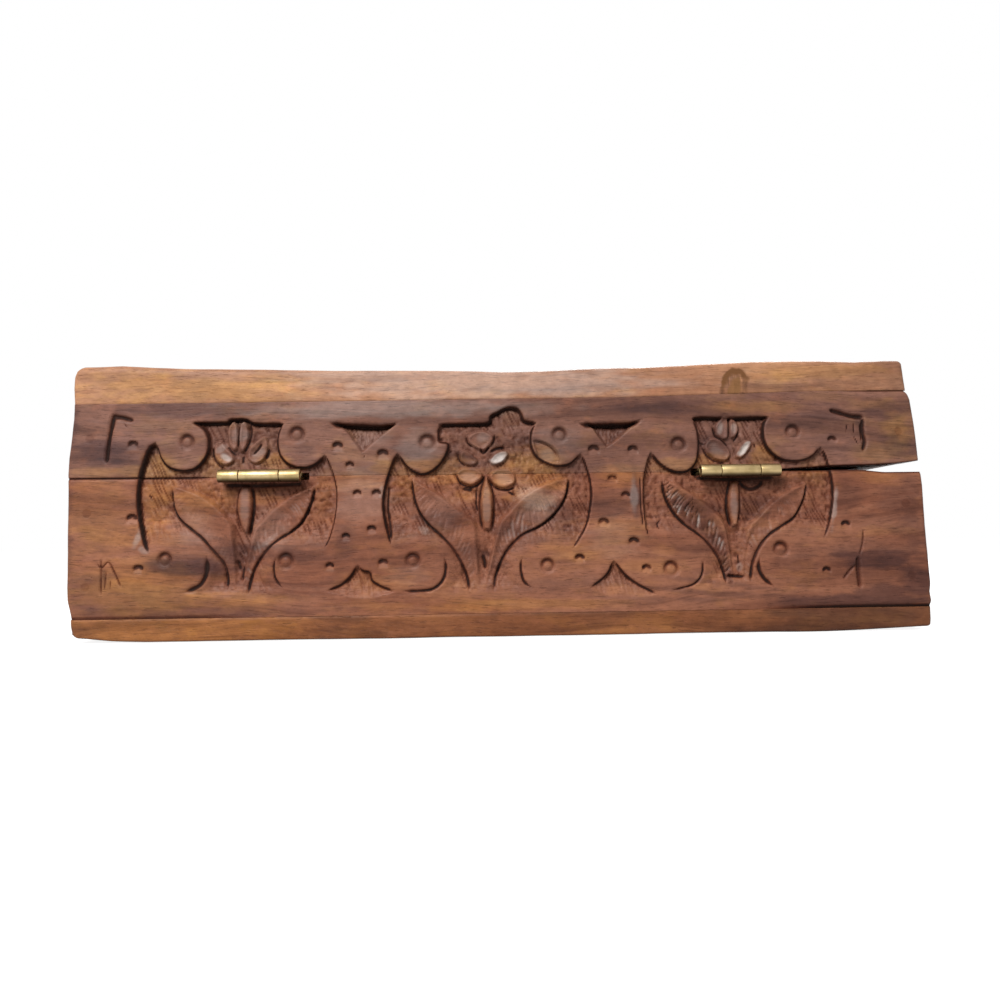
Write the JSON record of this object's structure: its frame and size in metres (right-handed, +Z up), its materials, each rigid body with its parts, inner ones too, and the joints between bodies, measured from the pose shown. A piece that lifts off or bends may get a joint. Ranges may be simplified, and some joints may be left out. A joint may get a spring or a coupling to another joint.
{
  "type": "trinket box",
  "caption": "Low oblong carved wooden trinket box with a hinged board lid, small butt hinges and a swinging hook catch.",
  "frame": {"origin": "middle of the footprint, on the underside that the box stands on", "axes": "+Z up, +X along the box, to the right seen from the front, -Y the front with the hook, +Y the hinge side"},
  "size_m": [0.203, 0.1333, 0.065],
  "materials": {
    "carved_wood": "waxed, carved",
    "top_wood": "waxed, pale sapwood at the edge",
    "bottom_wood": "waxed",
    "hinge_brass": "tumbled, slightly dull",
    "catch_brass": "tumbled, slightly dull",
    "steel_pins": "bright wire, punched in"
  },
  "bodies": {
    "base": {"base_back_wall": "carved_wood", "base_corner_pins": "steel_pins", "base_front_wall": "carved_wood", "base_left_wall": "carved_wood", "base_right_wall": "carved_wood", "bottom_board": "bottom_wood", "bottom_board_pins": "steel_pins", "left_hinge_base_leaf": "hinge_brass", "right_hinge_base_leaf": "hinge_brass", "left_hinge_pin": "hinge_brass", "right_hinge_pin": "hinge_brass", "left_hinge_base_screws": "hinge_brass", "right_hinge_base_screws": "hinge_brass", "catch_washer": "catch_brass", "catch_pivot_screw": "catch_brass"},
    "lid": {"lid_back_rail": "carved_wood", "lid_corner_pins": "steel_pins", "lid_front_rail": "carved_wood", "lid_left_rail": "carved_wood", "lid_right_rail": "carved_wood", "top_board": "top_wood", "top_board_pins": "steel_pins", "left_hinge_lid_leaf": "hinge_brass", "right_hinge_lid_leaf": "hinge_brass", "left_hinge_lid_screws": "hinge_brass", "right_hinge_lid_screws": "hinge_brass", "catch_stud": "catch_brass"},
    "hook": {"catch_hook": "catch_brass"}
  },
  "joints": [
    {"name": "lid_hinge", "type": "hinge", "parent": "base", "child": "lid", "pos_m": [0, 0.0652, 0.0381], "axis": [-1, 0, 0], "range_deg": [0, 180]},
    {"name": "hook_swing", "type": "hinge", "parent": "base", "child": "hook", "pos_m": [0, -0.0649, 0.0315], "axis": [0, -1, 0], "range_deg": [-150, 180]}
  ]
}
